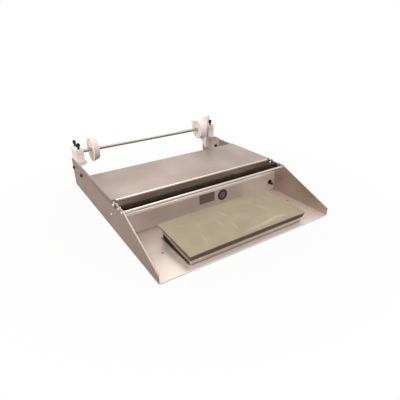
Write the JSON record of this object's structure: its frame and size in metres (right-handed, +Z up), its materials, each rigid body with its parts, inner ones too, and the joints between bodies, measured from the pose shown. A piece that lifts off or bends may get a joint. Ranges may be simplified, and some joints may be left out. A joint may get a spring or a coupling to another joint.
{
  "type": "film wrapping machine",
  "caption": "Counter-top hand wrapper: folded steel tray with a padded hot plate, cut-off rod, guide roller, hinged deck lid and a film roll shaft with core cones.",
  "frame": {"origin": "middle of the footprint on the surface that the rubber feet stand on; the footprint counts the wing nut, which reaches past the panels at the rear", "axes": "+X to the operator's right along the roller and the roll shaft, +Y from the hot plate to the roll at the rear, +Z up"},
  "size_m": [0.57, 0.7026, 0.2062],
  "materials": {
    "stainless_sheet": "fine brushed",
    "lid_sheet": "fine satin",
    "polished_steel": "polished",
    "roller_sleeve": "satin dark sleeve",
    "white_acetal": "satin moulded",
    "black_nylon": "satin",
    "black_steel": "black oxide",
    "zinc_screw": "bright zinc",
    "plate_aluminium": "satin",
    "release_cloth": "coated woven cloth",
    "heater_silicone": "matt silicone",
    "insulator_white": "matt",
    "black_rubber": "matt",
    "terminal_plastic": "matt",
    "switch_plastic": "matt"
  },
  "bodies": {
    "machine_frame": {"side_panel_left": "stainless_sheet", "side_panel_right": "stainless_sheet", "tray_floor": "stainless_sheet", "front_panel": "stainless_sheet", "cross_brace": "stainless_sheet", "rear_channel": "stainless_sheet", "ear_bracket_left": "stainless_sheet", "ear_bracket_right": "stainless_sheet", "pivot_screws": "polished_steel", "pivot_washers": "black_nylon", "pivot_acorn_nuts": "polished_steel", "roller_axle": "polished_steel", "axle_screws": "zinc_screw", "brace_screws": "zinc_screw", "cutoff_rod": "polished_steel", "rod_insulators": "insulator_white", "rod_screws": "black_steel", "ear_bolts": "black_steel", "ear_nuts": "black_steel", "ear_rivets": "zinc_screw", "block_screws": "black_steel", "bearing_base_left": "white_acetal", "bearing_base_right": "white_acetal", "bearing_cap_left": "white_acetal", "bearing_cap_right": "white_acetal", "hot_plate": "plate_aluminium", "heater_mat": "heater_silicone", "plate_thermostat": "black_nylon", "hot_plate_cover": "release_cloth", "cover_snaps": "polished_steel", "hot_plate_base": "stainless_sheet", "plate_screws": "zinc_screw", "switch_case": "switch_plastic", "switch_nut": "zinc_screw", "switch_boot": "black_rubber", "wiring_housing": "stainless_sheet", "terminal_block": "terminal_plastic", "cord_gland": "black_nylon", "wire_conduit": "zinc_screw", "conduit_grommet": "black_rubber", "rubber_feet": "black_rubber", "foot_screws": "zinc_screw", "tray_screws": "black_steel"},
    "lid": {"deck_lid": "lid_sheet"},
    "roller": {"guide_roller": "roller_sleeve", "roller_bushes": "white_acetal"},
    "shaft": {"roll_shaft": "polished_steel"},
    "left_cone": {"core_cone_left": "white_acetal", "cone_set_screw": "zinc_screw"},
    "right_cone": {"core_cone_right": "white_acetal"},
    "wing": {"wing_nut": "white_acetal"},
    "toggle": {"switch_lever": "black_nylon"},
    "thumb_left_front": {"thumb_screw_left_front": "black_nylon"},
    "thumb_left_rear": {"thumb_screw_left_rear": "black_nylon"},
    "thumb_right_front": {"thumb_screw_right_front": "black_nylon"},
    "thumb_right_rear": {"thumb_screw_right_rear": "black_nylon"}
  },
  "joints": [
    {"name": "lid_hinge", "type": "hinge", "parent": "machine_frame", "child": "lid", "pos_m": [0, -0.10433, 0.1035], "axis": [1, 0, 0], "range_deg": [0, 80]},
    {"name": "roller_spin", "type": "hinge", "parent": "machine_frame", "child": "roller", "pos_m": [0, -0.13333, 0.103], "axis": [1, 0, 0], "continuous": true},
    {"name": "shaft_spin", "type": "hinge", "parent": "machine_frame", "child": "shaft", "pos_m": [0, 0.27217, 0.144], "axis": [1, 0, 0], "continuous": true},
    {"name": "left_cone_slide", "type": "slide", "parent": "shaft", "child": "left_cone", "axis": [1, 0, 0], "range_m": [0, 0.12]},
    {"name": "right_cone_slide", "type": "slide", "parent": "shaft", "child": "right_cone", "axis": [-1, 0, 0], "range_m": [0, 0.15]},
    {"name": "wing_nut_turn", "type": "hinge", "parent": "right_cone", "child": "wing", "pos_m": [0.243, 0.27217, 0.144], "axis": [1, 0, 0], "range_deg": [0, 360]},
    {"name": "toggle_tilt", "type": "hinge", "parent": "machine_frame", "child": "toggle", "pos_m": [0.254, -0.12533, 0.044], "axis": [-1, 0, 0], "range_deg": [0, 24]},
    {"name": "thumb_left_front_turn", "type": "hinge", "parent": "machine_frame", "child": "thumb_left_front", "pos_m": [-0.266, 0.24917, 0.16], "axis": [0, 0, 1], "range_deg": [0, 720]},
    {"name": "thumb_left_rear_turn", "type": "hinge", "parent": "machine_frame", "child": "thumb_left_rear", "pos_m": [-0.266, 0.29517, 0.16], "axis": [0, 0, 1], "range_deg": [0, 720]},
    {"name": "thumb_right_front_turn", "type": "hinge", "parent": "machine_frame", "child": "thumb_right_front", "pos_m": [0.266, 0.24917, 0.16], "axis": [0, 0, 1], "range_deg": [0, 720]},
    {"name": "thumb_right_rear_turn", "type": "hinge", "parent": "machine_frame", "child": "thumb_right_rear", "pos_m": [0.266, 0.29517, 0.16], "axis": [0, 0, 1], "range_deg": [0, 720]}
  ]
}
